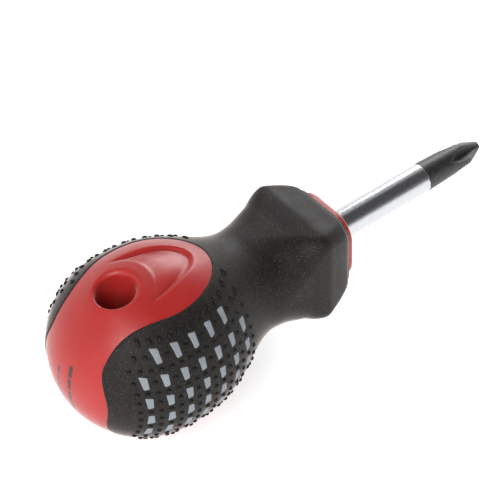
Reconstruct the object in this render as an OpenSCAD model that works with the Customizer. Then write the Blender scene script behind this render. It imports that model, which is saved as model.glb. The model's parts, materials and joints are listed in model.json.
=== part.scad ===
/* [Blade] */
// Diameter of the round steel shank
shank_d = 6; // [6:0.1:6.4]
// Length of blade that stands out of the handle
blade_l = 38.4; // [36:0.1:60]
// Length of the slim tapered stretch behind the point, finished black
nose_l = 14.9; // [12:0.1:18]
// Diameter at the end of that stretch, where the point starts
nose_d = 5.2; // [4.9:0.1:5.4]
// Length of the cross point
point_l = 3.9; // [3.4:0.1:4.4]
// Diameter of the blunt end of the point
end_d = 1.7; // [1.4:0.1:1.9]
// Length of blade moulded into the handle
tail_l = 40; // [34:1:41]
// Diameter of that length, which is reduced to leave a shoulder at the handle
tail_d = 5.2; // [4.8:0.1:5.4]
// Width across the two swaged wings that stop the blade turning
wing_w = 9.6; // [8:0.2:11]

/* [Handle] */
// Length of the handle
handle_l = 62.3; // [61:0.1:64]
// Radius of the ball at the butt
ball_r = 17.65; // [17:0.05:18]
// Radius of the round waist
waist_r = 10.4; // [10:0.1:10.8]
// Distance of the waist behind the front face
waist_back = 20.3; // [20:0.1:21]
// Radius to the four corners of the flared guard
guard_r = 14.1; // [13.6:0.1:14.4]
// Distance of the guard's widest point behind the front face
guard_back = 9.4; // [9:0.1:9.8]
// Half the width across the guard's flats
guard_flat = 10.6; // [10.4:0.1:10.8]
// Thickness of the rubber over the core
rubber_t = 2.6; // [2.2:0.1:3]

/* [Front collar] */
// Half the width across the collar's flats
collar_flat = 7.4; // [7.2:0.1:7.8]
// Radius to the collar's rounded corners
collar_r = 8.6; // [8.3:0.1:9]
// Length of collar that shows in front of the rubber
collar_l = 1.5; // [1:0.1:2]

/* [Hanging hole] */
// Diameter of the hole through the butt
hole_d = 7.6; // [6:0.1:8]
// Distance of the hole from the butt end
hole_in = 13; // [12:0.5:14]
// Width of the bevelled rim
rim_r = 0.8; // [0.6:0.1:1.2]

/* [Hard saddles] */
// Half width of each saddle at its widest
saddle_w = 10; // [9:0.1:11]
// Half width of the neck behind the saddle
neck_w = 7.5; // [7:0.1:8]
// Distance from the front face to the saddle's tip
saddle_front = 29.6; // [29:0.1:31]
// Depth of the thumb recess in front of the hole
recess_t = 0.8; // [0.3:0.1:0.9]

/* [Grip windows] */
// Rows of windows on each side
rows = 6; // [4:2:6]
// Columns in the long rows
cols = 7; // [5:1:7]
// Spacing of the columns along the handle
col_gap = 3.8; // [3.6:0.05:3.9]
// Spacing of the rows up the side
row_gap = 4.2; // [4:0.05:4.3]
// Width of a window's edge furthest from the parting line
window_top = 1.5; // [1.4:0.1:1.8]
// Width of its edge nearest the parting line
window_foot = 1.1; // [0.9:0.1:1.4]
// Height of a window
window_h = 2.45; // [2:0.05:2.6]
// How much higher a window's edge is at the butt side
window_slant = 0.24; // [0:0.02:0.4]

/* [Hidden] */
$fn = 96;
eps = 0.01;
// Places along the handle, from the front face at zero
butt_x = -handle_l;
ball_x = butt_x + ball_r;
waist_x = -waist_back;
guard_x = -guard_back;
hole_x = butt_x + hole_in;
flat_x = guard_x + 2;
field_in = 1.85;
// Neck of the core under the rubber
core_r = 7;
// The tapered nose and the point
nose_x = blade_l - nose_l;
point_x = blade_l - point_l;
// Bevel on the bar's inner end, and the place, length and thickness of its wings
tail_bevel = 0.4;
wing_x = 6 - tail_l;
wing_l = 7;
wing_t = 2;
// The grey sheet under the rubber, and how near the middle plane it reaches
inlay_t = 1;
sheet_y = 7.6;
// Longer than anything that is cut through the handle, further than its surface, and a small overlap
through = 50;
beyond = 30;
lap = 0.5;
// The saddle is widest here, and its butt end opens into the cap
wide_x = saddle_back(0.4);
cap_x = butt_x + 2.65;
cap_flare = 1.6;
boss_r = 7.4;

// A place along the saddle, as a share of its length from its tip
function saddle_back(share) = -saddle_front - share * (handle_l - saddle_front);

// Smooth rise from 0 to 1
function ease(t) = (1 - cos(180 * max(0, min(1, t)))) / 2;

// Outer radius of the ball and its long shoulder down to the waist
shoulder_power = 1.4;
function shoulder_share(x) = pow((x - ball_x) / (waist_x - ball_x), shoulder_power);
function shoulder(x) = waist_r + (ball_r - waist_r) * (1 - ease(shoulder_share(x)));
function ball_profile(inset) = [
    for (a = [180:-6:96]) [(ball_r - inset) * sin(a), ball_x + (ball_r - inset) * cos(a)],
    for (x = [ball_x:1.6:waist_x]) [shoulder(x) - inset, x],
    [waist_r - inset, waist_x],
];

// Half width of the saddle's outline, seen from above
front_power = 1.9;
neck_x = cap_x + cap_flare + 1.4;
function saddle_half(x) =
    x > wide_x
    ? saddle_w * pow(1 - pow((x - wide_x) / (-saddle_front - wide_x), front_power), 1 / front_power)
    : neck_w + (saddle_w - neck_w) * (1 - ease((wide_x - x) / (wide_x - neck_x)));

// Turns a shape drawn along Z so that it lies along the handle's X
module along_x() {
    rotate([0, 90, 0]) children();
}

module spin(points) {
    along_x() rotate_extrude() polygon(points);
}

// The round body: ball, shoulder and waist, drawn in by an inset
module round_body(inset) {
    spin(concat(ball_profile(inset), [[0, waist_x]]));
}

// Outline of the hard plastic seen from above: one saddle, its neck and the butt cap
cap_w = 14;
cap_turn = 2;
saddle_steps = 14;
function saddle_side(side) = [
    for (i = [0:saddle_steps])
        let (x = -saddle_front + (wide_x + saddle_front) * (1 - cos(90 * i / saddle_steps)))
        [x, side * saddle_half(x)],
    for (i = [1:saddle_steps])
        let (x = wide_x + (cap_x + cap_flare - wide_x) * i / saddle_steps)
        [x, side * saddle_half(x)],
    for (a = [18:18:90]) [cap_x + cap_flare * (1 - sin(a)), side * (neck_w + cap_turn * (1 - cos(a)))],
    [cap_x, side * cap_w],
    [butt_x - lap, side * cap_w],
];
module saddle_outline() {
    left = saddle_side(1);
    right = saddle_side(-1);
    polygon(concat(left, [for (i = [len(right) - 1:-1:1]) right[i]]));
}
module saddle_prism() {
    linear_extrude(height = through, center = true) saddle_outline();
}

// The guard: a round flare whose sides are cut flat, so that it ends as a rounded square
flare_x = waist_x + 1.5;
flare_steps = 8;
// Its front bevel, as distances behind the front face and drops below the widest radius
bevel = [
    [guard_back - 1.2, 0.2],
    [guard_back - 2.2, 0.5],
    [collar_l + 2.6, 2],
    [collar_l + 0.9, 2.9],
    [collar_l, 4.3],
];
function guard_profile() = [
    [0, waist_x - lap],
    [waist_r, waist_x - lap],
    [waist_r, waist_x],
    for (i = [1:flare_steps])
        let (t = i / flare_steps)
        [waist_r + (guard_r - waist_r) * ease(t), flare_x + (guard_x - flare_x) * t],
    for (b = bevel) [guard_r - b[1], -b[0]],
    [0, -collar_l],
];
// Half widths across the flats where the flare starts, near its crest and at the front edge
flare_flat = waist_r + 0.2;
crest_flat = guard_flat - 0.05;
crest_l = 3;
front_flat = collar_flat + 0.5;
edge_flat = front_flat + 1;
edge_l = 0.8;
module guard_flats() {
    for (a = [0:90:270])
        rotate([a, 0, 0])
        rotate([90, 0, 0])
        linear_extrude(height = through, center = true)
        polygon([
            [flare_x, flare_flat],
            [guard_x - crest_l, crest_flat],
            [flat_x, guard_flat],
            [-collar_l - edge_l, edge_flat],
            [-collar_l, front_flat],
            [lap, front_flat],
            [lap, beyond],
            [flare_x, beyond],
        ]);
}
module guard() {
    difference() {
        spin(guard_profile());
        guard_flats();
    }
}

// Section of the collar: a square with its corners rounded off
module collar() {
    translate([-collar_l, 0, 0]) along_x() intersection() {
        cylinder(r = collar_r, h = collar_l);
        linear_extrude(height = collar_l) square(2 * collar_flat, center = true);
    }
}

// The steel bar: wings, shank, tapered nose and cross point
flute_angle = 92;
flute_root = 0.55;
flute_tilt = 5.75;
flute_h = 6;
// The flute's root rises faster behind this place and so runs out
runout_x = blade_l - 8.4;
runout_root = 1.4;
runout_tilt = 17;
module groove(x, root, tilt) {
    half = flute_h * tan(flute_angle / 2);
    translate([x, 0, root])
        rotate([0, tilt, 0])
        rotate([90, 0, 90])
        linear_extrude(height = through, center = true)
        polygon([[0, 0], [half, flute_h], [-half, flute_h]]);
}
module flute() {
    intersection() {
        groove(blade_l, flute_root, flute_tilt);
        groove(runout_x, runout_root, runout_tilt);
    }
}
module wings() {
    translate([wing_x, -wing_w / 2, -wing_t / 2]) cube([wing_l, wing_w, wing_t]);
}
module blade() {
    color("silver") difference() {
        union() {
            spin([
                [0, -tail_l],
                [tail_d / 2 - tail_bevel, -tail_l],
                [tail_d / 2, tail_bevel - tail_l],
                [tail_d / 2, 0],
                [shank_d / 2, 0],
                [shank_d / 2, nose_x],
                [nose_d / 2, point_x],
                [end_d / 2, blade_l],
                [0, blade_l],
            ]);
            wings();
        }
        for (a = [45:90:315]) rotate([a, 0, 0]) flute();
    }
}

// Space in the core for the moulded-in end of the blade
module blade_space() {
    translate([-tail_l, 0, 0]) along_x() cylinder(d = tail_d, h = tail_l + lap);
    wings();
}

// The hanging hole with its rounded rims
module hanging_hole() {
    translate([hole_x, 0, 0]) cylinder(d = hole_d, h = through, center = true);
}
rim_h = 4;
module hole_rims() {
    rise = sqrt(pow(ball_r, 2) - pow(hole_x - ball_x, 2));
    slope = asin((ball_x - hole_x) / ball_r);
    for (side = [0, 180])
        rotate([side, 0, 0])
        translate([hole_x, 0, rise])
        rotate([0, -slope, 0])
        translate([0, 0, -rim_r])
        cylinder(r1 = hole_d / 2 - eps, r2 = hole_d / 2 + rim_h, h = rim_h);
}

// The thumb recess: a shallow crescent between the hole's boss and a rounded point
recess_x = saddle_back(0.095);
recess_w = 7;
recess_power = 2.4;
recess_end = hole_x - 4;
recess_steps = 12;
function recess_half(x) =
    let (t = min(1, (recess_x - x) / (recess_x - recess_end)))
    recess_w * sqrt(1 - pow(1 - t, recess_power));
module recess_outline() {
    xs = [for (i = [0:recess_steps]) recess_x + (hole_x - recess_x) * pow(i / recess_steps, 2)];
    polygon(concat(
        [for (x = xs) [x, recess_half(x)]],
        [for (i = [recess_steps:-1:1]) [xs[i], -recess_half(xs[i])]]
    ));
}
module thumb_recess() {
    difference() {
        linear_extrude(height = through, center = true) recess_outline();
        translate([hole_x, 0, 0]) cylinder(r = boss_r, h = through + lap, center = true);
        round_body(recess_t);
    }
}

// Hard core: collar, neck, saddles, butt cap and the moulded-in inner ball
module handle_core() {
    color("red") difference() {
        union() {
            round_body(rubber_t);
            intersection() {
                round_body(0);
                saddle_prism();
            }
            translate([waist_x - lap, 0, 0]) along_x() cylinder(r = core_r, h = lap - waist_x - collar_l);
            collar();
        }
        blade_space();
        hanging_hole();
        hole_rims();
        thumb_recess();
    }
}

// Which rows and columns of the window grid are filled
function first_col(row) = row == 1 || row == rows ? 2 : 1;
function last_col(row) = row == 1 || row == rows ? cols - 1 : cols;
function row_z(row) = ((rows + 1) / 2 - row) * row_gap;
// A distance along the surface from the ball's widest place, as a place along the handle
function surface_x(d) = ball_x + (d < 0 ? ball_r * sin(d / ball_r * 180 / PI) : d);
function col_d(col) = field_in + (col - (cols + 1) / 2) * col_gap;
// Windows are mirrored above and below the parting line, and lean towards the point
window_lean = 0.05;
module window_outline(col, up) {
    top = window_top / 2;
    foot = window_foot / 2;
    high = window_h / 2;
    slant = window_slant / 2;
    polygon([
        [surface_x(col_d(col) + window_lean - foot), -up * high],
        [surface_x(col_d(col) + window_lean + foot), -up * (high - slant)],
        [surface_x(col_d(col) + window_lean + top), up * (high - slant)],
        [surface_x(col_d(col) + window_lean - top), up * (high + slant)],
    ]);
}
module window_pads(side, reach) {
    for (row = [1:rows])
        for (col = [first_col(row):last_col(row)])
            translate([0, 0, row_z(row)])
                rotate([90, 0, 0])
                mirror([0, 0, side > 0 ? 1 : 0])
                linear_extrude(height = reach)
                window_outline(col, row_z(row) > 0 ? 1 : -1);
}
// The sheet that joins the pads, hidden under the rubber
sheet_back = surface_x(col_d(1) - 2);
sheet_front = surface_x(col_d(cols) + 2);
field_h = (rows - 1) * row_gap + 3.4;
module inlay_sheet(side) {
    intersection() {
        difference() {
            round_body(rubber_t - inlay_t);
            round_body(rubber_t);
            saddle_prism();
        }
        translate([sheet_back, side > 0 ? sheet_y : -sheet_y - beyond, -field_h / 2])
            cube([sheet_front - sheet_back, beyond, field_h]);
    }
}
module inlay(side) {
    color("lightsteelblue") union() {
        inlay_sheet(side);
        difference() {
            intersection() {
                round_body(0);
                window_pads(side, beyond);
            }
            round_body(rubber_t - inlay_t / 2);
        }
    }
}
module left_inlay() {
    inlay(1);
}
module right_inlay() {
    inlay(-1);
}

// Soft sleeve: both lobes, the waist and the guard
module rubber_grip() {
    color("dimgray") difference() {
        union() {
            round_body(0);
            guard();
        }
        saddle_prism();
        round_body(rubber_t);
        translate([waist_x - lap, 0, 0]) along_x() cylinder(r = core_r, h = 2 * lap - waist_x);
        for (side = [-1, 1]) {
            inlay_sheet(side);
            window_pads(side, beyond);
        }
    }
}

blade();
handle_core();
left_inlay();
right_inlay();
rubber_grip();
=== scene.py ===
import json
import math

import bmesh
import bpy
import numpy as np
from mathutils import Matrix, Vector


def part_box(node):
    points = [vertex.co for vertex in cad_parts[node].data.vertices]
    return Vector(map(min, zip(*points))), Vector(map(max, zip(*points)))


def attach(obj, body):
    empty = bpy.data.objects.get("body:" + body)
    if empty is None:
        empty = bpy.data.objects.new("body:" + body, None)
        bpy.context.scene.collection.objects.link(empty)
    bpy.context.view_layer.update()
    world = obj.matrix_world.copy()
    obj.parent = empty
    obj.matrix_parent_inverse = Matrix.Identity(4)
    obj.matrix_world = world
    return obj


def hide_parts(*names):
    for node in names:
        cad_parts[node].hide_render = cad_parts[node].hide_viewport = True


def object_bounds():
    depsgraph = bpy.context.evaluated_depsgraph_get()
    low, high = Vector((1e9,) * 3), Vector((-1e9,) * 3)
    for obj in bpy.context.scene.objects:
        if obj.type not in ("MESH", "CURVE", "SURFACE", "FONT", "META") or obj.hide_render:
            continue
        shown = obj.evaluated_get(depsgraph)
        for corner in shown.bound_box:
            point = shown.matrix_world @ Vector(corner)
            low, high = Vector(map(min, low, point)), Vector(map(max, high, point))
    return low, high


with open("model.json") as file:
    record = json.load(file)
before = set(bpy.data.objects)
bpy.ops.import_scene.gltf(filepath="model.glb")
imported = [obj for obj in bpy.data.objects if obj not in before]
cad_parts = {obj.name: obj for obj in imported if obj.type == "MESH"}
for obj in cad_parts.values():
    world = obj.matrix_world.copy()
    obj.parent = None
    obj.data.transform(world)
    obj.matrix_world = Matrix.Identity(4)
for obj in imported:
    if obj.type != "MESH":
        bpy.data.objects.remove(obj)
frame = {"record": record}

# Lengths are worked out in millimetres and turned into metres when a mesh is made.
MM = 0.001
cad_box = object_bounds()


def box_mm(node):
    low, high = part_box(node)
    return np.array(low) / MM, np.array(high) / MM


core_low, core_high = box_mm("handle_core")
blade_low, blade_high = box_mm("blade")
hole_mount = next(m for m in frame["record"]["mounts"] if m["name"] == "hanging_hole")
shank_mount = next(m for m in frame["record"]["mounts"] if m["name"] == "blade_shank")

BUTT_X = core_low[0]
FRONT_X = core_high[0]
TAIL_X, TIP_X = blade_low[0], blade_high[0]
BALL_R = core_high[2]
BALL_X = BUTT_X + BALL_R
SHANK_R = shank_mount["dims"]["r_mm"]
HOLE_X = hole_mount["pos_m"][0] / MM
HOLE_R = hole_mount["dims"]["r_mm"]

# Where the bright shank ends and the black nose starts
NOSE_X = TIP_X - 14.9

# The waist and the guard in front of it
WAIST_X = FRONT_X - 20.3
WAIST_R = 10.4
SHOULDER_POWER = 1.4
COLLAR_L = 1.5
COLLAR_HALF, COLLAR_CORNER, COLLAR_ROUND = 7.4, 4.4, 0.6
RUBBER_END = FRONT_X - COLLAR_L
RUBBER_T = 2.6

# The red saddles, seen from above
SADDLE_TIP = FRONT_X - 29.6
SADDLE_W = 10.0
SADDLE_POWER = 1.9
NECK_W = 7.5
NECK_RUN = 1.4
WIDE_X = SADDLE_TIP - 0.4 * (SADDLE_TIP - BUTT_X)
CAP_X = BUTT_X + 2.65
CAP_FLARE = 1.6
CAP_TURN = 2

# A half width that is past the ball everywhere
OUTSIDE = BALL_R + 2

# The window grid
ROWS = 6
COLS = 7
COL_GAP = 3.8
ROW_GAP = 4.2
FIELD_IN = 1.85
WINDOW_TOP = 1.5
WINDOW_FOOT = 1.1
WINDOW_H = 2.45
WINDOW_SLANT = 0.24
WINDOW_LEAN = 0.05
WINDOW_CORNER = 0.28

# Grid density of the moulded surfaces
COLUMNS = 288
ROW_STEP = 0.38
PROFILE_SAMPLES = 2000
NEAR_ZERO = 1e-3


# ---------------------------------------------------------------- shapes as formulas

def ease(t):
    return (1 - np.cos(np.pi * np.clip(t, 0, 1))) / 2


def smooth_curve(points, x):
    """A monotone cubic through a few points, without overshoot."""
    px, py = np.array(points, float).T
    width = np.diff(px)
    slope = np.diff(py) / width
    tangent = np.zeros(len(px))
    for i in range(1, len(px) - 1):
        if slope[i - 1] * slope[i] > 0:
            tangent[i] = 2 * slope[i - 1] * slope[i] / (slope[i - 1] + slope[i])
    x = np.clip(x, px[0], px[-1])
    i = np.clip(np.searchsorted(px, x, side="right") - 1, 0, len(width) - 1)
    t = (x - px[i]) / width[i]
    return (
        (2 * t**3 - 3 * t**2 + 1) * py[i]
        + (t**3 - 2 * t**2 + t) * width[i] * tangent[i]
        + (3 * t**2 - 2 * t**3) * py[i + 1]
        + (t**3 - t**2) * width[i] * tangent[i + 1]
    )


def body_radius(x):
    """Ball, shoulder and waist."""
    x = np.asarray(x, float)
    ball = np.sqrt(np.clip(BALL_R**2 - (x - BALL_X) ** 2, 0, None))
    along = np.clip((x - BALL_X) / (WAIST_X - BALL_X), 0, 1)
    shoulder = WAIST_R + (BALL_R - WAIST_R) * (1 - ease(along**SHOULDER_POWER))
    return np.where(x < BALL_X, ball, shoulder)


def body_normal(point):
    """Outward normal of the round body at points on it."""
    x = point[..., 0]
    step = 0.02
    rise = (body_radius(x + step) ** 2 - body_radius(x - step) ** 2) / (4 * step)
    n = np.stack([-rise, point[..., 1], point[..., 2]], -1)
    return n / np.linalg.norm(n, axis=-1, keepdims=True)


def rounded_square(angle, half, corner):
    """Radius of a square with rounded corners, measured from its middle."""
    fold = np.abs((angle + np.pi / 4) % (np.pi / 2) - np.pi / 4)
    flat = half / np.cos(fold)
    centre = half - corner
    across = centre * (np.cos(fold) + np.sin(fold))
    round_part = across + np.sqrt(np.clip(across**2 - 2 * centre**2 + corner**2, 0, None))
    return np.where(half * np.tan(fold) <= centre, flat, round_part)


# Half width across the flats, and radius of the corners, at distances behind the front face
GUARD_FLAT = [(-20.3, 10.4), (-17, 10.35), (-13, 10.38), (-10.5, 10.55), (-8.6, 10.6),
              (-7.8, 10.48), (-7.0, 10.25), (-4, 9.35), (-2.4, 8.7), (-1.5, 7.7)]
GUARD_CORNER = [(-20.3, 10.4), (-18.5, 10), (-16.5, 9), (-14.5, 7.5), (-13, 6.4), (-11.9, 5.1),
                (-10.6, 3.7), (-9.4, 2.8), (-8.5, 2.5), (-7, 2.5), (-4, 2.9), (-2.5, 3.4), (-1.5, 4.0)]


def guard_radius(x, angle):
    half = smooth_curve(GUARD_FLAT, x)
    corner = np.minimum(smooth_curve(GUARD_CORNER, x), half)
    return rounded_square(angle, half, corner)


def polar(x, radius, angle):
    """Points round the handle's axis, with the angle from straight up towards -Y."""
    x, radius, angle = np.broadcast_arrays(x, radius, angle)
    return np.stack([x, -radius * np.sin(angle), radius * np.cos(angle)], -1)


def saddle_side():
    """The edge of the hard plastic from the saddle's tip to the butt cap, as x and half width."""
    turn = np.radians(np.linspace(0, 90, 40))
    x = SADDLE_TIP + (WIDE_X - SADDLE_TIP) * (1 - np.cos(turn))
    share = (x - WIDE_X) / (SADDLE_TIP - WIDE_X)
    front = np.stack([x, SADDLE_W * (1 - share**SADDLE_POWER) ** (1 / SADDLE_POWER)], 1)
    x = np.linspace(WIDE_X, CAP_X + CAP_FLARE, 40)[1:]
    narrowing = ease((WIDE_X - x) / (WIDE_X - CAP_X - CAP_FLARE - NECK_RUN))
    neck = np.stack([x, NECK_W + (SADDLE_W - NECK_W) * (1 - narrowing)], 1)
    turn = np.radians(np.linspace(0, 90, 12))[1:]
    flare = np.stack([CAP_X + CAP_FLARE * (1 - np.sin(turn)), NECK_W + CAP_TURN * (1 - np.cos(turn))], 1)
    return np.concatenate([front, neck, flare, [[CAP_X, OUTSIDE]]])


def distance_to_line(points, line):
    """Distance from 2D points to a polyline."""
    best = np.full(points.shape[:-1], np.inf)
    for a, b in zip(line[:-1], line[1:]):
        along = b - a
        t = np.clip(((points - a) @ along) / (along @ along), 0, 1)
        gap = np.linalg.norm(points - a - t[..., None] * along, axis=-1)
        best = np.minimum(best, gap)
    return best


SADDLE = saddle_side()


def hard_depth(point):
    """How far a point lies inside the outline of the hard plastic, negative outside it."""
    x, y = point[..., 0], np.abs(point[..., 1])
    width = np.interp(x, SADDLE[::-1, 0], SADDLE[::-1, 1], left=OUTSIDE, right=-1)
    gap = distance_to_line(np.stack([x, y], -1), SADDLE)
    return np.where((x < CAP_X) | (y < width), gap, -gap)


def surface_x(along):
    """A distance along the surface from the ball's widest place, as a place along X."""
    along = np.asarray(along, float)
    return BALL_X + np.where(along < 0, BALL_R * np.sin(along / BALL_R), along)


def col_run(col):
    return FIELD_IN + (col - (COLS + 1) / 2) * COL_GAP


def col_x(col):
    return surface_x(col_run(col))


def row_z(row):
    return ((ROWS + 1) / 2 - row) * ROW_GAP


def is_window(row, col):
    short = 1 if row in (1, ROWS) else 0
    return 1 + short <= col <= COLS - short


def window_outline(col, up, grow=0.0):
    """A window's rounded outline, X and height about its row; up is -1 below the parting line."""
    high, slant = WINDOW_H / 2, WINDOW_SLANT / 2
    corners = np.array([
        [-WINDOW_FOOT / 2, -high],
        [WINDOW_FOOT / 2, -high + slant],
        [WINDOW_TOP / 2, high - slant],
        [-WINDOW_TOP / 2, high + slant],
    ])
    points = []
    for i in range(4):
        here, before, after = corners[i], corners[i - 1], corners[(i + 1) % 4]
        back = (before - here) / np.linalg.norm(before - here)
        on = (after - here) / np.linalg.norm(after - here)
        start, end = here + back * WINDOW_CORNER, here + on * WINDOW_CORNER
        for t in np.linspace(0, 1, 4):
            # a quadratic turn from one side to the next
            points.append((1 - t) ** 2 * start + 2 * t * (1 - t) * here + t**2 * end)
    points = np.array(points)
    size = np.linalg.norm(points, axis=1, keepdims=True)
    points = points + points / size * grow
    return np.stack([surface_x(col_run(col) + WINDOW_LEAN + points[:, 0]), points[:, 1] * up], 1)


def inside_depth(points, loop, reach=3.0):
    """How far 2D points lie inside a closed loop, negative outside; far points get -reach."""
    low, high = loop.min(0) - reach, loop.max(0) + reach
    depth = np.full(points.shape[:-1], -reach)
    near = np.all((points > low) & (points < high), axis=-1)
    p = points[near]
    if not len(p):
        return depth
    closed = np.concatenate([loop, loop[:1]])
    gap = distance_to_line(p, closed)
    inside = np.zeros(len(p), bool)
    for (ax, ay), (bx, by) in zip(closed[:-1], closed[1:]):
        if ay == by:
            continue
        level = (ay > p[:, 1]) != (by > p[:, 1])
        inside ^= level & (p[:, 0] < ax + (p[:, 1] - ay) / (by - ay) * (bx - ax))
    depth[near] = np.where(inside, gap, -gap)
    return depth


def window_gap(point, shrink):
    """How far points lie outside every window, negative inside, in the plane seen from the side."""
    seen = np.stack([point[..., 0], point[..., 2]], -1)
    best = np.full(seen.shape[:-1], 9.0)
    for row in range(1, ROWS + 1):
        for col in range(1, COLS + 1):
            if is_window(row, col):
                outline = window_outline(col, np.sign(row_z(row)), -shrink) + [0, row_z(row)]
                best = np.minimum(best, -inside_depth(seen, outline, 1.5))
    return best


# ---------------------------------------------------------------- mesh building

class Shell:
    """Collects points and faces for one mesh."""

    def __init__(self):
        self.points = []
        self.faces = []

    def add(self, points, faces):
        start = sum(len(p) for p in self.points)
        self.points.append(np.asarray(points, float).reshape(-1, 3))
        self.faces += [tuple(i + start for i in f) for f in faces]
        return start

    def rings(self, rings, close_start=True, close_end=True):
        """Joins rings of points, each with the same count, with a fan at each end if wanted."""
        rings = np.asarray(rings)
        count, around = rings.shape[:2]
        start = self.add(rings, [])
        for i in range(count - 1):
            for j in range(around):
                k = (j + 1) % around
                self.faces.append((start + i * around + j, start + i * around + k,
                                   start + (i + 1) * around + k, start + (i + 1) * around + j))
        for ring, wanted in ((0, close_start), (count - 1, close_end)):
            if wanted:
                hub = self.add([rings[ring].mean(0)], [])
                base = start + ring * around
                self.faces += [(base + j, base + (j + 1) % around, hub) for j in range(around)]
        return start

    def build(self, name, material, sharp):
        """Makes the object; edges sharper than an angle in degrees stay sharp."""
        mesh = bpy.data.meshes.new(name)
        mesh.from_pydata((np.concatenate(self.points) * MM).tolist(), [], self.faces)
        mesh.validate()
        piece = bpy.data.objects.new(name, mesh)
        bpy.context.collection.objects.link(piece)
        tidy_mesh(mesh, sharp)
        mesh.materials.append(material)
        return piece


def tidy_mesh(mesh, sharp):
    """Merges doubled points, turns every face outwards and smooths all but sharp edges."""
    bm = bmesh.new()
    bm.from_mesh(mesh)
    bmesh.ops.remove_doubles(bm, verts=bm.verts, dist=0.004 * MM)
    bmesh.ops.dissolve_degenerate(bm, edges=bm.edges, dist=0.002 * MM)
    loose = [v for v in bm.verts if not v.link_faces]
    bmesh.ops.delete(bm, geom=loose, context="VERTS")
    bmesh.ops.recalc_face_normals(bm, faces=bm.faces)
    for face in bm.faces:
        face.smooth = True
    bm.to_mesh(mesh)
    bm.free()
    mesh.set_sharp_from_angle(angle=math.radians(sharp))


def off_zero(depth):
    """Keeps values away from zero, so that no cut falls on a grid point."""
    return np.where(np.abs(depth) < NEAR_ZERO, np.copysign(NEAR_ZERO, depth), depth)


def clip_triangle(triangle, keep):
    """The kept part of a triangle, and the edge it is cut along if it is cut."""
    shape, leaving, entering = [], None, None
    for here, after in zip(triangle, triangle[1:] + triangle[:1]):
        if keep[here]:
            shape.append(here)
        if keep[here] != keep[after]:
            point = tuple(sorted((here, after)))
            shape.append(point)
            if keep[here]:
                leaving = point
            else:
                entering = point
    return tuple(shape), (leaving, entering)


def clip_grid(depth):
    """Keeps the part of a grid where depth is positive. The grid closes round its second index.

    Returns faces whose corners are keys: (i, j) for a grid point, or a pair of
    them for the place where the edge between them is cut. The cut edges follow.
    """
    rows, columns = depth.shape
    keep = off_zero(depth) > 0
    faces, cut_edges = [], []
    for i in range(rows - 1):
        for j in range(columns):
            k = (j + 1) % columns
            quad = ((i, j), (i, k), (i + 1, k), (i + 1, j))
            signs = [keep[c] for c in quad]
            if all(signs):
                faces.append(quad)
            elif any(signs):
                for triangle in (quad[:3], (quad[0], quad[2], quad[3])):
                    shape, edge = clip_triangle(triangle, keep)
                    if shape:
                        faces.append(shape)
                    if edge[0]:
                        cut_edges.append(edge)
    return faces, cut_edges


def key_points(keys, grid, depth):
    """Where keys from clip_grid lie on a grid of points."""
    depth = off_zero(depth)
    places = []
    for key in keys:
        if isinstance(key[0], tuple):
            a, b = key
            t = depth[a] / (depth[a] - depth[b])
            places.append(grid[a] * (1 - t) + grid[b] * t)
        else:
            places.append(grid[key])
    return np.array(places)


def chain(edges):
    """Sorts edges, as pairs of keys, into closed loops."""
    follow = dict(edges)
    loops = []
    while follow:
        start = next(iter(follow))
        loop = []
        here = start
        while here in follow:
            loop.append(here)
            here = follow.pop(here)
        if len(loop) > 2:
            loops.append(loop)
    return loops


class Surface:
    """A clipped grid whose open edges can be carried on as further rings."""

    def __init__(self, shell):
        self.shell = shell

    def lay(self, faces, grid, depth, flip=False):
        keys = list(dict.fromkeys(k for f in faces for k in f))
        index = {k: n for n, k in enumerate(keys)}
        order = [tuple(index[k] for k in (reversed(f) if flip else f)) for f in faces]
        start = self.shell.add(key_points(keys, grid, depth), order)
        return {k: n + start for k, n in index.items()}

    def band(self, first, second):
        """Joins two loops of point numbers."""
        count = len(first)
        for n in range(count):
            m = (n + 1) % count
            self.shell.faces.append((first[n], first[m], second[m], second[n]))

    def ring(self, points):
        start = self.shell.add(points, [])
        return list(range(start, start + len(points)))

    def zip_up(self, first, first_plan, second, second_plan):
        """Fills the gap between two loops that have different counts, laid out in plan."""
        def turning(plan):
            after = np.roll(plan, -1, 0)
            return (plan[:, 0] * after[:, 1] - after[:, 0] * plan[:, 1]).sum()

        if turning(first_plan) * turning(second_plan) < 0:
            second, second_plan = second[::-1], second_plan[::-1]
        start = int(np.argmin(np.linalg.norm(second_plan - first_plan[0], axis=1)))
        second = second[start:] + second[:start]
        second_plan = np.roll(second_plan, -start, 0)
        n, m = len(first), len(second)
        i = j = 0
        while i < n or j < m:
            step_first = np.linalg.norm(first_plan[(i + 1) % n] - second_plan[j % m])
            step_second = np.linalg.norm(first_plan[i % n] - second_plan[(j + 1) % m])
            if j >= m or (i < n and step_first <= step_second):
                self.shell.faces.append((first[i % n], first[(i + 1) % n], second[j % m]))
                i += 1
            else:
                self.shell.faces.append((first[i % n], second[(j + 1) % m], second[j % m]))
                j += 1


def loop_outward(points, normals):
    """Direction in the surface that leads away from the kept side of a closed loop."""
    tangent = np.roll(points, -1, 0) - np.roll(points, 1, 0)
    tangent /= np.linalg.norm(tangent, axis=1, keepdims=True) + 1e-12
    side = np.cross(tangent, normals)
    return side / (np.linalg.norm(side, axis=1, keepdims=True) + 1e-12)


def profile_rows(start, end, step):
    """Places along X that are a step apart along the body's profile."""
    x = BALL_X - BALL_R * np.cos(np.linspace(0, np.pi / 2, PROFILE_SAMPLES))
    x = np.concatenate([x, np.linspace(BALL_X, WAIST_X, PROFILE_SAMPLES)[1:]])
    x = x[(x >= start) & (x <= end)]
    run = np.concatenate([[0], np.cumsum(np.hypot(np.diff(x), np.diff(body_radius(x))))])
    count = max(2, int(round(run[-1] / step)) + 1)
    return np.interp(np.linspace(0, run[-1], count), run, x)


ANGLES = np.arange(COLUMNS) * 2 * np.pi / COLUMNS
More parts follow.
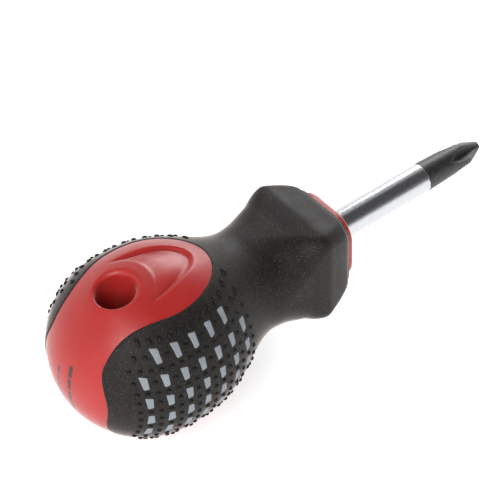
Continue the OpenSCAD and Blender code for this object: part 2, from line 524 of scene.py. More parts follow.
# Turns of a quarter round
ROUNDING = np.radians((30, 60, 90))


# ---------------------------------------------------------------- materials

MAP_SOCKETS = ("From Min", "From Max", "To Min", "To Max")


class Look:
    """A node material built on one Principled shader."""

    def __init__(self, name, **sockets):
        self.material = bpy.data.materials.new(name)
        self.material.use_nodes = True
        self.tree = self.material.node_tree
        self.shader = self.tree.nodes["Principled BSDF"]
        self.coords = self.node("ShaderNodeTexCoord").outputs["Object"]
        for socket, value in sockets.items():
            self.shader.inputs[socket.replace("_", " ")].default_value = value

    def node(self, kind, **values):
        made = self.tree.nodes.new(kind)
        for name, value in values.items():
            setattr(made, name, value)
        return made

    def link(self, source, target):
        self.tree.links.new(source, target)

    def noise(self, size_mm, detail=2.0, rough=0.5):
        """Noise whose blobs are about this many millimetres across."""
        made = self.node("ShaderNodeTexNoise")
        made.inputs["Scale"].default_value = 1 / (size_mm * MM)
        made.inputs["Detail"].default_value = detail
        made.inputs["Roughness"].default_value = rough
        self.link(self.coords, made.inputs["Vector"])
        return made.outputs["Fac"]

    def cells(self, size_mm):
        made = self.node("ShaderNodeTexVoronoi")
        made.inputs["Scale"].default_value = 1 / (size_mm * MM)
        self.link(self.coords, made.inputs["Vector"])
        return made.outputs["Distance"]

    def map(self, source, low, high, new_low=0.0, new_high=1.0):
        made = self.node("ShaderNodeMapRange")
        for socket, value in zip(MAP_SOCKETS, (low, high, new_low, new_high)):
            made.inputs[socket].default_value = value
        self.link(source, made.inputs["Value"])
        return made.outputs["Result"]

    def math(self, operation, a, b=None):
        made = self.node("ShaderNodeMath", operation=operation)
        for socket, value in zip(made.inputs, (a, b)):
            if value is None:
                continue
            if isinstance(value, (int, float)):
                socket.default_value = value
            else:
                self.link(value, socket)
        return made.outputs["Value"]

    def mix(self, share, a, b):
        """A colour between two, by a share that is a socket."""
        made = self.node("ShaderNodeMix", data_type="RGBA")
        self.link(share, made.inputs["Factor"])
        for socket, value in ((made.inputs[6], a), (made.inputs[7], b)):
            if isinstance(value, tuple):
                socket.default_value = (*value, 1)
            else:
                self.link(value, socket)
        return made.outputs[2]

    def axes(self):
        made = self.node("ShaderNodeSeparateXYZ")
        self.link(self.coords, made.inputs["Vector"])
        return made.outputs["X"], made.outputs["Y"], made.outputs["Z"]

    def bump(self, height, distance_mm, strength=1.0, below=None):
        made = self.node("ShaderNodeBump")
        made.inputs["Strength"].default_value = strength
        made.inputs["Distance"].default_value = distance_mm * MM
        self.link(height, made.inputs["Height"])
        if below is not None:
            self.link(below, made.inputs["Normal"])
        return made.outputs["Normal"]

    def set(self, socket, source):
        self.link(source, self.shader.inputs[socket])


def soft_sheen(look, weight, roughness):
    look.shader.inputs["Sheen Weight"].default_value = weight
    look.shader.inputs["Sheen Roughness"].default_value = roughness


def black_rubber():
    """Matte soft plastic with fine dust in its grain."""
    look = Look("black_rubber", IOR=1.45, Specular_IOR_Level=0.25)
    soft_sheen(look, 1.0, 0.23)
    look.shader.inputs["Sheen Tint"].default_value = (1.0, 0.91, 0.84, 1)
    tone = look.noise(5, 3)
    base = look.mix(look.map(tone, 0.35, 0.7), (0.0080, 0.0066, 0.0060), (0.0125, 0.0103, 0.0094))
    grain = look.noise(0.3, 3, 0.7)
    base = look.mix(look.map(grain, 0.52, 0.80), base, (0.070, 0.061, 0.054))
    specks = look.map(look.cells(1.3), 0.06, 0.035)
    base = look.mix(specks, base, (0.16, 0.15, 0.14))
    look.set("Base Color", base)
    look.set("Roughness", look.map(tone, 0.3, 0.7, 0.52, 0.64))
    look.set("Normal", look.bump(look.noise(0.22, 4, 0.65), 0.03, 0.8))
    return look.material


def painted_shade_rubber():
    """The same plastic on the raised dots, smoother, and darker without the dust grain: its darkness is
    painted shade.
    """
    look = Look("black_rubber_dots", IOR=1.45, Specular_IOR_Level=0.2)
    tone = look.noise(1.5, 3)
    # painted shade: a darker copy of the grip's colour, kept on the dots
    base = look.mix(look.map(tone, 0.35, 0.7), (0.007, 0.006, 0.0056), (0.013, 0.0115, 0.0105))
    look.set("Base Color", base)
    look.set("Roughness", look.map(tone, 0.3, 0.7, 0.38, 0.52))
    look.set("Normal", look.bump(look.noise(0.3, 3), 0.01, 0.6))
    return look.material


def bars(look, across, along, centre, half, pitch, share, start, end):
    """A row of plain bars: a mask over two coordinates, with no lettering. Sizes in mm."""
    off = look.math("ABSOLUTE", look.math("SUBTRACT", across, centre * MM))
    inside = look.math("LESS_THAN", off, half * MM)
    turn = look.math("FRACT", look.math("DIVIDE", look.math("SUBTRACT", along, start * MM), pitch * MM))
    bar = look.math("LESS_THAN", turn, share)
    low = look.math("GREATER_THAN", along, start * MM)
    high = look.math("LESS_THAN", along, end * MM)
    return look.math("MULTIPLY", look.math("MULTIPLY", inside, bar), look.math("MULTIPLY", low, high))


# The bars printed on the butt: centre, half width, pitch, share filled, start and end
PRINT_ROWS = [(1.6, 0.32, 1.9, 0.8, -3.4, 4.2), (-1.7, 0.45, 2.9, 0.85, -5.2, 6.4)]
PRINT_DEPTH = 3.2


def butt_print(look, x, y, z):
    """Two plain dashed lines printed across the butt."""
    rows = look.math("MAXIMUM", *(bars(look, y, z, *row) for row in PRINT_ROWS))
    return look.math("MULTIPLY", rows, look.math("LESS_THAN", x, (BUTT_X + PRINT_DEPTH) * MM))


def red_plastic():
    """Semi-matte hard plastic that lets a little light in, with the print on the butt."""
    look = Look("red_plastic", IOR=1.5, Specular_IOR_Level=0.4, Subsurface_Weight=0.3)
    soft_sheen(look, 0.65, 0.25)
    look.shader.inputs["Subsurface Radius"].default_value = (1.0, 0.12, 0.10)
    look.shader.inputs["Subsurface Scale"].default_value = 2.5 * MM
    tone = look.noise(9, 2)
    base = look.mix(look.map(tone, 0.3, 0.7), (0.385, 0.019, 0.017), (0.425, 0.025, 0.022))
    x, y, z = look.axes()
    worn = look.map(look.noise(0.25, 3), 0.3, 0.7, 0.7, 1.0)
    base = look.mix(look.math("MULTIPLY", butt_print(look, x, y, z), worn), base, (0.022, 0.012, 0.012))
    look.set("Base Color", base)
    scuffs = look.noise(1.3, 4, 0.7)
    look.set("Roughness", look.map(scuffs, 0.3, 0.75, 0.30, 0.44))
    look.set("Normal", look.bump(look.noise(0.5, 3, 0.5), 0.012, 0.6))
    return look.material


def grey_plastic():
    """The plain semi-matte plastic of the pads."""
    look = Look("grey_plastic", IOR=1.5, Specular_IOR_Level=0.4)
    tone = look.noise(2.5, 3)
    base = look.mix(look.map(tone, 0.3, 0.7), (0.20, 0.222, 0.25), (0.245, 0.27, 0.30))
    look.set("Base Color", base)
    look.set("Roughness", look.map(tone, 0.3, 0.7, 0.38, 0.5))
    look.set("Normal", look.bump(look.noise(0.3, 2), 0.01, 0.5))
    return look.material


def steel():
    """Satin chrome on the shank and black oxide on the nose and point."""
    look = Look("blade_steel", IOR=1.65)
    x, y, z = look.axes()
    ragged = look.map(look.noise(0.8, 3), 0.3, 0.7, -0.12, 0.12)
    edge = NOSE_X * MM
    place = look.math("ADD", x, look.math("MULTIPLY", ragged, MM))
    black = look.map(place, edge - 0.08 * MM, edge + 0.08 * MM)
    streaks = look.noise(0.5, 4, 0.6)
    chrome = look.mix(look.map(streaks, 0.3, 0.7), (0.57, 0.58, 0.61), (0.66, 0.67, 0.69))
    patches = look.map(look.noise(1.1, 4), 0.3, 0.75)
    oxide = look.mix(patches, (0.014, 0.013, 0.013), (0.034, 0.031, 0.030))
    look.set("Base Color", look.mix(black, chrome, oxide))
    look.set("Metallic", look.map(black, 0, 1, 1.0, 0.25))
    chrome_rough = look.map(streaks, 0.3, 0.7, 0.16, 0.24)
    oxide_rough = look.map(streaks, 0.3, 0.7, 0.34, 0.46)
    share = look.math("MULTIPLY", black, look.math("SUBTRACT", oxide_rough, chrome_rough))
    look.set("Roughness", look.math("ADD", chrome_rough, share))
    look.set("Normal", look.bump(look.noise(0.25, 3), 0.006, 0.5))
    return look.material


# ---------------------------------------------------------------- pieces

# Rounding of the rubber's edge, and how far the hard plastic lies below it
RIM = 0.35
CORE_DROP = 0.15

# Room under the rubber for the grey sheet, and more points than a window's edge has
SHEET_ROOM = 1.0
WINDOW_LOOP = 60

# The raised dots: half width, height, root below the surface, and sides of each
DOT_HALF = 0.47
DOT_HIGH = 0.4
DOT_ROOT = 0.3
DOT_SIDES = 10
# Height and width of the rings of a dot above its root
DOT_RINGS = [(0.0, 1.0), (0.5, 0.88), (0.85, 0.55)]


def side_point(x, z, side, lift=0.0):
    """Points on the left (1) or right (-1) of the round body, raised along its normal."""
    x, z = np.broadcast_arrays(np.asarray(x, float), np.asarray(z, float))
    y = side * np.sqrt(np.clip(body_radius(x) ** 2 - z**2, 0, None))
    point = np.stack([x, y, z], -1)
    return point + body_normal(point) * np.asarray(lift)[..., None]


def dot_places():
    """Row and column of every raised dot: each half step of the grid that has no window."""
    for half_row in range(1, 2 * ROWS + 2):
        for half_col in range(1, 2 * COLS + 2):
            row, col = half_row / 2, half_col / 2
            from_end = min(row, ROWS + 1 - row)
            if half_row % 2 == 0 and half_col % 2 == 0 and is_window(row, col):
                continue
            if (from_end < 1 and col < 1.5) or (from_end < 1.5 and col < 1):
                continue
            yield row, col


def add_dots(shell, side):
    """Small domes on the rubber, longer round the handle near the top and bottom rows."""
    around = np.arange(DOT_SIDES) * 2 * np.pi / DOT_SIDES
    for row, col in dot_places():
        x, z = col_x(col), row_z(row)
        centre = side_point(x, z, side)
        normal = body_normal(centre)
        steep = abs(z) / float(body_radius(x))
        half_w = DOT_HALF * (0.9 + 1.1 * float(ease((steep - 0.6) / 0.2)))
        along = np.array([1.0, 0, 0]) - normal[0] * normal
        along /= np.linalg.norm(along)
        across = np.cross(normal, along)

        def ring(level, spread):
            return (centre + normal * level
                    + np.outer(np.cos(around) * DOT_HALF * spread, along)
                    + np.outer(np.sin(around) * half_w * spread, across))

        rings = [ring(-DOT_ROOT, 1.0)] + [ring(DOT_HIGH * lift, spread) for lift, spread in DOT_RINGS]
        start = shell.rings(rings, False, False)
        tip = shell.add([centre + normal * DOT_HIGH, centre - normal * DOT_ROOT], [])
        last = start + (len(rings) - 1) * DOT_SIDES
        for base, hub in ((last, tip), (start, tip + 1)):
            shell.faces += [(base + j, base + (j + 1) % DOT_SIDES, hub) for j in range(DOT_SIDES)]


def rubber_details(material):
    """The raised dots of the soft grip."""
    shell = Shell()
    for side in (1, -1):
        add_dots(shell, side)
    return shell.build("rubber_grip_dots", material, 50)


def rubber_grip(material):
    """The soft sleeve, rounded along the saddles and open at its windows."""
    shell = Shell()
    surface = Surface(shell)
    x = profile_rows(CAP_X - 0.6, WAIST_X, ROW_STEP)[:, None]
    x = np.broadcast_to(x, (x.shape[0], COLUMNS))
    top = polar(x, body_radius(x), ANGLES)
    thick = RUBBER_T - SHEET_ROOM
    normals = body_normal(top)
    bottom = top - normals * thick
    depth = np.minimum(-hard_depth(top) - RIM, window_gap(top, 0.12))
    depth[-1] = np.abs(depth[-1])
    faces, edges = clip_grid(depth)
    top_index = surface.lay(faces, top, depth)
    bottom_index = surface.lay(faces, bottom, depth, flip=True)
    for loop in chain(edges):
        points = key_points(loop, top, depth)
        before = [top_index[k] for k in loop]
        lower = [bottom_index[k] for k in loop]
        if len(loop) > WINDOW_LOOP:
            ups = body_normal(points)
            out = loop_outward(points, ups)
            rings = [points + out * RIM * math.sin(turn) - ups * RIM * (1 - math.cos(turn))
                     for turn in ROUNDING]
            rings.append(points + out * RIM - ups * thick)
            for ring in rings:
                numbers = surface.ring(ring)
                surface.band(before, numbers)
                before = numbers
        surface.band(before, lower)
    add_guard(shell, thick)
    return shell.build("rubber_grip_soft", material, 50)


# The guard's front lip, and the rubber's bore behind it as places and radii
LIP_HALF, LIP_CORNER, LIP_ROUND, LIP_DEPTH = 7.0, 4.6, 0.5, 2.5
GUARD_BORE = [(-6, 7.4), (-18, 7.6)]
FLARE_END = -12.0


def add_guard(shell, thick):
    """Waist, guard and front edge, joined to the round body at the waist."""
    front = RUBBER_END - LIP_ROUND
    x = np.concatenate([np.linspace(WAIST_X, FLARE_END - 0.5, 16), np.linspace(FLARE_END, front, 24)])
    rings = [polar(v, guard_radius(v, ANGLES), ANGLES) for v in x]
    edge = guard_radius(x[-1], ANGLES)
    for turn in ROUNDING:
        place, drop = x[-1] + LIP_ROUND * math.sin(turn), LIP_ROUND * (1 - math.cos(turn))
        rings.append(polar(place, edge - drop, ANGLES))
    inner = polar(0, rounded_square(ANGLES, LIP_HALF, LIP_CORNER), ANGLES) + [RUBBER_END, 0, 0]
    rings += [inner, inner + [-LIP_DEPTH, 0, 0]]
    for place, radius in GUARD_BORE + [(WAIST_X, WAIST_R - thick)]:
        rings.append(polar(place, radius, ANGLES))
    shell.rings(rings, False, False)


# The thumb recess, and the boss round the hole behind it
RECESS_FRONT = SADDLE_TIP - 0.095 * (SADDLE_TIP - BUTT_X)
RECESS_W = 7.0
RECESS_POWER = 2.4
BOSS_R = 7.4
RECESS_DEPTH = 0.85
# Distances in from the recess's edge, and the share of its depth there
RECESS_EDGE = [(-0.6, 0), (-0.36, 0), (-0.2, 0.03), (-0.04, 0.13), (0.12, 0.35), (0.26, 0.65),
               (0.4, 0.88), (0.58, 1.0)]


def recess_half(x):
    """Half width of the thumb recess at a place along the saddle."""
    t = np.clip((RECESS_FRONT - x) / (RECESS_FRONT - HOLE_X + 4), 0, 1)
    return RECESS_W * np.sqrt(1 - (1 - t) ** RECESS_POWER)


def recess_curves(count=49):
    """The recess seen from above: its outer edge, and the arc round the hole behind it."""
    x = np.linspace(HOLE_X, RECESS_FRONT, PROFILE_SAMPLES)
    beyond = np.hypot(x - HOLE_X, recess_half(x)) > BOSS_R
    cusp = x[np.argmax(beyond)]
    turn = np.linspace(-1, 1, count)
    x = RECESS_FRONT - (RECESS_FRONT - cusp) * np.abs(turn) ** 1.7
    outer = np.stack([x, np.sign(-turn) * recess_half(x)], 1)
    angle = -turn * np.arctan2(recess_half(cusp), cusp - HOLE_X)
    inner = np.stack([HOLE_X + BOSS_R * np.cos(angle), BOSS_R * np.sin(angle)], 1)
    return outer, inner


def recess_rows():
    """Rows of plan points across the recess, each with its depth below the saddle."""
    outer, inner = recess_curves()
    along = np.gradient(outer, axis=0)
    inward = np.stack([along[:, 1], -along[:, 0]], 1)
    inward /= np.linalg.norm(inward, axis=1, keepdims=True)
    inward *= np.sign(((inner - outer) * inward).sum(1).mean())
    to_hole = np.array([HOLE_X, 0]) - inner
    to_hole /= np.linalg.norm(to_hole, axis=1, keepdims=True)
    width = np.linalg.norm(inner - outer, axis=1, keepdims=True)
    full = RECESS_DEPTH * np.minimum(1, width[:, 0] / 2.6)
    tight = np.minimum(1, width / 1.6)
    rows = []
    for offset, share in RECESS_EDGE:
        move = offset * (tight if offset > 0 else 1)
        rows.append((outer + inward * move, full * share))
    start = outer + inward * RECESS_EDGE[-1][0] * tight
    for share in (0.2, 0.4, 0.6, 0.8, 0.95):
        rows.append((start + (inner - start) * share, full * (1 - 0.72 * ease(share))))
    rows.append((inner, full * 0.22))
    rows.append((inner + to_hole * 0.25, full * 0.06))
    rows.append((inner + to_hole * 0.6, full * 0))
    return rows


def recess_border():
    """The closed border of those rows, in order round the recess."""
    rows = [plan for plan, drop in recess_rows()]
    down = [plan[-1] for plan in rows[1:-1]]
    up = [plan[0] for plan in rows[-2:0:-1]]
    return np.concatenate([rows[0], down, rows[-1][::-1], up])


SWELL_RISE, SWELL_REACH = 0.3, 2.4


def lip_rise(plan):
    """A gentle swelling of the saddle at the butt side of the hole."""
    away = plan - [HOLE_X, 0]
    distance = np.linalg.norm(away, axis=-1)
    backward = 0.5 - 0.5 * away[..., 0] / np.maximum(distance, 1e-6)
    return SWELL_RISE * backward * np.exp(-((distance - HOLE_R) / SWELL_REACH) ** 2)


def saddle_point(plan, up, drop):
    """Points of the upper (1) or lower (-1) saddle, from where they are in plan."""
    x, y = plan[..., 0], plan[..., 1]
    point = np.stack([x, y, up * np.sqrt(np.clip(body_radius(x) ** 2 - y**2, 0, None))], -1)
    return point - body_normal(point) * (CORE_DROP + np.asarray(drop))[..., None]


def add_recess(surface, up, loop, loop_points):
    """Lays the recess and joins it to the opening left for it."""
    shell = surface.shell
    rows = recess_rows()
    starts = [shell.add(saddle_point(plan, up, drop), []) for plan, drop in rows]
    count = len(rows[0][0])
    for a, b in zip(starts[:-1], starts[1:]):
        for i in range(count - 1):
            shell.faces.append((a + i, a + i + 1, b + i + 1, b + i))
    border = [starts[0] + i for i in range(count)]
    border += [a + count - 1 for a in starts[1:-1]]
    border += [starts[-1] + i for i in range(count - 1, -1, -1)]
    border += [a for a in starts[-2:0:-1]]
    surface.zip_up(loop, loop_points[:, :2], border, recess_border())


# The hole's rounded rim
HOLE_RIM = 0.8
RIM_EXTRA = 0.4
RIM_TURNS = np.radians((15, 30, 45, 60, 75, 90))
# Heights of the rings that carry its wall down to the middle
WALL_LEVELS = (10, 5, 0)


def rim_width(plan):
    """Width of the hole's rounded rim, wider towards the recess."""
    away = plan - [HOLE_X, 0]
    return HOLE_RIM + RIM_EXTRA * away[..., 0] / np.maximum(np.linalg.norm(away, axis=-1), 1e-6)


def handle_core(material):
    """The hard plastic: what shows between the rubber, and the inner body under it."""
    shell = Shell()
    surface = Surface(shell)
    x = profile_rows(BUTT_X + 0.02, WAIST_X, ROW_STEP)[:, None]
    x = np.broadcast_to(x, (x.shape[0], COLUMNS))
    whole = polar(x, body_radius(x), ANGLES)
    normals = body_normal(whole)
    plan = whole[..., :2]
    top = whole - normals * (CORE_DROP - lip_rise(plan))[..., None]
    bottom = whole - normals * RUBBER_T
    hard = hard_depth(whole) + 0.2
    from_hole = np.linalg.norm(plan - [HOLE_X, 0], axis=-1) - HOLE_R - rim_width(plan)
    from_recess = -0.12 - inside_depth(plan, recess_border())
    kept = np.minimum(np.minimum(hard, from_hole), from_recess)
    faces, edges = clip_grid(kept)
    index = surface.lay(faces, top, kept)
    low_faces, _ = clip_grid(-hard)
    low_index = surface.lay(low_faces, bottom, -hard)
    for loop in chain(edges):
        points = key_points(loop, top, kept)
        middle = points.mean(0)
        numbers = [index[k] for k in loop]
        if abs(middle[2]) < BALL_R / 2:
            # the outline of the hard plastic, which goes right round the handle
            surface.band(numbers, [low_index[k] for k in loop])
        elif middle[0] < HOLE_X + 2:
            hole_rings(surface, points, numbers)
        else:
            add_recess(surface, np.sign(middle[2]), numbers, points)
    hub = shell.add([[BUTT_X + CORE_DROP, 0, 0]], [])
    shell.faces += [(index[(0, j)], index[(0, (j + 1) % COLUMNS)], hub) for j in range(COLUMNS)]
    last = x.shape[0] - 1
    hub = shell.add([[WAIST_X, 0, 0]], [])
    for j in range(COLUMNS):
        shell.faces.append((low_index[(last, j)], low_index[(last, (j + 1) % COLUMNS)], hub))
    add_collar(shell)
    return shell.build("handle_core_hard", material, 38)


def hole_rings(surface, points, numbers):
    """Rounds a hole's rim over and carries its wall down to the middle of the handle."""
    up = np.sign(points[:, 2].mean())
    away = points[:, :2] - [HOLE_X, 0]
    away /= np.linalg.norm(away, axis=1, keepdims=True)
    rim = rim_width(points[:, :2])
    before = numbers
    for turn in RIM_TURNS:
        ring = points.copy()
        ring[:, :2] = [HOLE_X, 0] + away * (HOLE_R + rim * (1 - math.sin(turn)))[:, None]
        ring[:, 2] -= up * rim * (1 - math.cos(turn))
        after = surface.ring(ring)
        surface.band(before, after)
        before = after
    for level in WALL_LEVELS:
        ring = ring.copy()
        ring[:, 2] = level * up
        after = surface.ring(ring)
        surface.band(before, after)
        before = after


# The neck under the rubber: its radii, its start and its bore for the shank
NECK_R, NECK_BORE, NECK_X = 7.0, 5.0, WAIST_X - 6
COLLAR_BACK = RUBBER_END - 2
BORE_R = SHANK_R + 0.02
BORE_CHAMFER = 0.35
COLLAR_POINTS = 96


def add_collar(shell):
    """The neck under the rubber and the collar that shows, bored for the shank."""
    around = np.arange(COLLAR_POINTS) * 2 * np.pi / COLLAR_POINTS

    def collar(shrink):
        return rounded_square(around, COLLAR_HALF - shrink, COLLAR_CORNER)

    front = FRONT_X - COLLAR_ROUND
    sections = [(NECK_X, NECK_BORE), (NECK_X, NECK_R), (COLLAR_BACK, NECK_R)]
    sections += [(COLLAR_BACK, collar(0)), (front, collar(0))]
    for turn in ROUNDING:
        shrink = COLLAR_ROUND * (1 - math.cos(turn))
        sections.append((front + COLLAR_ROUND * math.sin(turn), collar(shrink)))
    sections += [(FRONT_X, BORE_R + BORE_CHAMFER), (FRONT_X - BORE_CHAMFER, BORE_R), (FRONT_X - 8, BORE_R)]
    sections += [(NECK_X, BORE_R), (NECK_X, NECK_BORE)]
    shell.rings([polar(place, radius, around) for place, radius in sections], False, False)


# A pad's rings: how far each is lifted from the round body, and its share of the outline
PAD_RINGS = [(-1.8, 1.0), (-0.02, 1.0), (0.035, 0.93), (0.05, 0.8), (0.05, 0.4)]
# Depths of the faces of the sheet that joins the pads
SHEET_TOP, SHEET_UNDER = -1.65, -2.55


def inlay(side, name, material):
    """Grey pads that come through the rubber, on the sheet that joins them."""
    shell = Shell()
    for row in range(1, ROWS + 1):
        for col in range(1, COLS + 1):
            if not is_window(row, col):
                continue
            outline = window_outline(col, np.sign(row_z(row)))
            middle = outline.mean(0)
            rings = []
            for lift, share in PAD_RINGS:
                p = middle + (outline - middle) * share
                rings.append(side_point(p[:, 0], row_z(row) + p[:, 1], side, lift))
            shell.rings(rings)
    add_sheet(shell, side)
    return shell.build(name, material, 45)


def add_sheet(shell, side):
    """The thin curved sheet under the rubber."""
    x = np.linspace(col_x(1) - 0.9, col_x(COLS) + 1, 28)
    z = np.linspace(-1, 1, 26)
    gx, gz = np.meshgrid(x, z, indexing="ij")
    gz = gz * np.minimum(row_z(1) + 1.5, np.sqrt((body_radius(gx) - RUBBER_T) ** 2 - 8.5**2))
    outer = side_point(gx, gz, side, np.full(gx.shape, SHEET_TOP))
    inner = side_point(gx, gz, side, np.full(gx.shape, SHEET_UNDER))
    rows, cols = gx.shape
    first = shell.add(outer, [])
    second = shell.add(inner, [])

    def at(base, i, j):
        return base + i * cols + j

    for base in (first, second):
        for i in range(rows - 1):
            for j in range(cols - 1):
                shell.faces.append((at(base, i, j), at(base, i, j + 1),
                                    at(base, i + 1, j + 1), at(base, i + 1, j)))
    rim = [(i, 0) for i in range(rows)] + [(rows - 1, j) for j in range(1, cols)]
    rim += [(i, cols - 1) for i in range(rows - 2, -1, -1)] + [(0, j) for j in range(cols - 2, 0, -1)]
    for a, b in zip(rim, rim[1:] + rim[:1]):
        shell.faces.append((at(first, *a), at(first, *b), at(second, *b), at(second, *a)))


# The cross point and its flutes
POINT_X = TIP_X - 3.9
NOSE_R = 2.6
END_R = 0.85
FLUTE_ROOT = 0.5
FLUTE_SLOPE = 0.115
FLUTE_ROUND = 0.6
RUNOUT_X = POINT_X - 1.6
RUNOUT_RISE = 0.11
FLUTE_HALF = math.radians(46)
# The blunt end's rounding: its length, and drops in radius at distances from the end
END_ROUND = 0.15
END_STEPS = [(0.04, 0.12), (0, 0.25)]

# The bar: bevel on its inner end, points round it, and the wings moulded in
TAIL_BEVEL = 0.4
BAR_POINTS = 192
WING_START, WING_END, WING_HALF, WING_T = -34, -27, 4.8, 2


def blade_profile():
    """Radius of the turned bar at places along it, from the tail to the blunt end."""
    places = [(TAIL_X, SHANK_R - TAIL_BEVEL), (TAIL_X + TAIL_BEVEL, SHANK_R)]
    places += [(v, SHANK_R) for v in np.linspace(TAIL_X + 2, NOSE_X - 0.3, 30)]
    for v in np.linspace(NOSE_X, POINT_X - 0.4, 44):
        share = (v - NOSE_X) / (POINT_X - NOSE_X)
        places.append((v, SHANK_R + (NOSE_R - SHANK_R) * share))
    for share in np.linspace(0, 1, 30):
        x = POINT_X + (TIP_X - END_ROUND - POINT_X) * share
        places.append((x, NOSE_R + (END_R - NOSE_R) * share))
    places += [(TIP_X - back, END_R - drop) for back, drop in END_STEPS]
    return np.array(places)


def fluted(x, radius, around):
    """Cuts four V-shaped flutes into a round section near the point."""
    fold = np.abs((around + np.pi / 4) % (np.pi / 2) - np.pi / 4)
    root = FLUTE_ROOT + (TIP_X - x) * FLUTE_SLOPE + max(0.0, RUNOUT_X - x) ** 2 * RUNOUT_RISE
    open_part = np.cos(fold) - np.sin(fold) / math.tan(FLUTE_HALF)
    with np.errstate(divide="ignore"):
        wall = np.where(open_part > 1e-3, root / np.maximum(open_part, 1e-3), 1e3)
    return np.minimum(radius, np.hypot(wall, FLUTE_ROUND))


def blade(material):
    """The turned bar with its fluted point, and the wings as a block across it."""
    around = np.arange(BAR_POINTS) * 2 * np.pi / BAR_POINTS
    shell = Shell()
    rings = []
    for x, radius in blade_profile():
        section = fluted(x, radius, around + np.pi / 4) if x > NOSE_X else radius
        rings.append(polar(x, section, around))
    shell.rings(rings)
    block = [[x, y, z] for x in (WING_START, WING_END) for y in (-WING_HALF, WING_HALF)
             for z in (-WING_T / 2, WING_T / 2)]
    shell.add(block, [(0, 1, 3, 2), (4, 6, 7, 5), (0, 4, 5, 1), (2, 3, 7, 6), (0, 2, 6, 4), (1, 5, 7, 3)])
    return shell.build("blade_bar", material, 24)


# ---------------------------------------------------------------- stage, light and camera

FLOOR_HALF = 3.0
FLOOR_GLOW = 0.55

# The tent: how its brightness falls from the horizon up, and towards its darker side
DARK_SIDE = (0.43, -0.52, 0.75)
UP_FALL = (0.15, 0.65, 1.2, 0.45)
DARK_FALL = (0.66, 0.86, 1.0, 0.2)
# Name, place, size in metres and power in watts of the lamps
LAMPS = [("front", (0.5, 0.38, 0.3), 0.4, 2.6), ("left", (-0.5, -0.35, 0.46), 0.5, 4.0)]
LAMP_TARGET = (-0.03, 0, 0)

# The camera: place in metres, direction and roll in degrees, lens and sensor in millimetres
CAMERA_PLACE = (-0.20355, -0.24356, 0.30933)
CAMERA_ANGLES = (-37.15, 44.68, -1.965)
CAMERA_LENS, CAMERA_SENSOR = 166.42, 36


def floor():
    """A plain pale floor that the ball rests on."""
    mesh = bpy.data.meshes.new("floor")
    half, level = FLOOR_HALF, cad_box[0][2]
    corners = [(-half, -half, level), (half, -half, level), (half, half, level), (-half, half, level)]
    mesh.from_pydata(corners, [], [(0, 1, 2, 3)])
    piece = bpy.data.objects.new("floor", mesh)
    bpy.context.collection.objects.link(piece)
    look = Look("floor_paper", Roughness=0.9, Specular_IOR_Level=0.1)
    look.shader.inputs["Emission Color"].default_value = (1, 1, 1, 1)
    look.shader.inputs["Emission Strength"].default_value = FLOOR_GLOW
    look.set("Base Color", look.mix(look.noise(60, 2), (0.80, 0.80, 0.80), (0.84, 0.84, 0.84)))
    mesh.materials.append(look.material)


def area_light(name, place, size, power):
    """A soft disc-shaped lamp that looks at the handle."""
    lamp = bpy.data.lights.new(name, "AREA")
    lamp.shape = "DISK"
    lamp.size = size
    lamp.energy = power
    holder = bpy.data.objects.new(name, lamp)
    bpy.context.collection.objects.link(holder)
    holder.location = place
    holder.rotation_euler = (Vector(LAMP_TARGET) - Vector(place)).to_track_quat("-Z", "Y").to_euler()


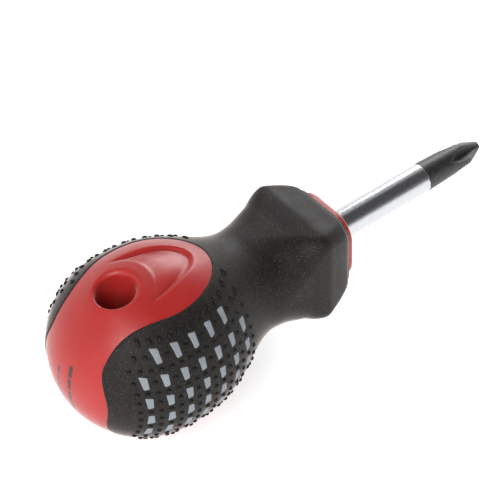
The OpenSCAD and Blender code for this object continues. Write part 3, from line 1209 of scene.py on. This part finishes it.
def studio():
    """A white tent with one darker side, and two wide soft lamps."""
    world = bpy.data.worlds.new("studio")
    bpy.context.scene.world = world
    world.use_nodes = True
    tree = world.node_tree
    background = tree.nodes["Background"]
    background.inputs["Color"].default_value = (1, 1, 1, 1)
    direction = tree.nodes.new("ShaderNodeTexCoord").outputs["Generated"]
    toward = tree.nodes.new("ShaderNodeVectorMath")
    toward.operation = "DOT_PRODUCT"
    toward.inputs[1].default_value = Vector(DARK_SIDE).normalized()
    tree.links.new(direction, toward.inputs[0])
    split = tree.nodes.new("ShaderNodeSeparateXYZ")
    tree.links.new(direction, split.inputs["Vector"])

    def fall(source, start, end, high, low):
        made = tree.nodes.new("ShaderNodeMapRange")
        made.interpolation_type = "SMOOTHSTEP"
        for socket, value in zip(MAP_SOCKETS, (start, end, high, low)):
            made.inputs[socket].default_value = value
        tree.links.new(source, made.inputs["Value"])
        return made.outputs["Result"]

    product = tree.nodes.new("ShaderNodeMath")
    product.operation = "MULTIPLY"
    tree.links.new(fall(split.outputs["Z"], *UP_FALL), product.inputs[0])
    tree.links.new(fall(toward.outputs["Value"], *DARK_FALL), product.inputs[1])
    tree.links.new(product.outputs["Value"], background.inputs["Strength"])
    for lamp in LAMPS:
        area_light(*lamp)
    bpy.context.scene.view_settings.view_transform = "Standard"


def camera():
    """The photograph's viewing angle: place, direction and roll about the line of sight."""
    azimuth, elevation, roll = map(math.radians, CAMERA_ANGLES)
    level = math.cos(elevation)
    back = Vector((math.sin(azimuth) * level, -math.cos(azimuth) * level, math.sin(elevation)))
    right = Vector((0, 0, 1)).cross(back).normalized()
    up = back.cross(right)
    turned = right * math.cos(roll) + up * math.sin(roll)
    up = back.cross(turned)
    data = bpy.data.cameras.new("camera")
    data.sensor_width = CAMERA_SENSOR
    data.lens = CAMERA_LENS
    data.clip_start = 0.01
    holder = bpy.data.objects.new("camera", data)
    bpy.context.collection.objects.link(holder)
    turn = Matrix((turned, up, back)).transposed().to_4x4()
    holder.matrix_world = Matrix.Translation(Vector(CAMERA_PLACE)) @ turn
    bpy.context.scene.camera = holder


# ---------------------------------------------------------------- assembly

camera()
floor()
studio()

red, black, grey, metal = red_plastic(), black_rubber(), grey_plastic(), steel()
dark = painted_shade_rubber()
pieces = [
    (handle_core(red), "handle_core", "red_plastic"),
    (rubber_grip(black), "rubber_grip", "black_rubber"),
    (rubber_details(dark), "rubber_grip", "black_rubber"),
    (inlay(1, "left_inlay_pads", grey), "left_inlay", "grey_plastic"),
    (inlay(-1, "right_inlay_pads", grey), "right_inlay", "grey_plastic"),
    (blade(metal), "blade", "blade_steel"),
]
for piece, node, slot in pieces:
    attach(piece, "root")
    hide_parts(node)
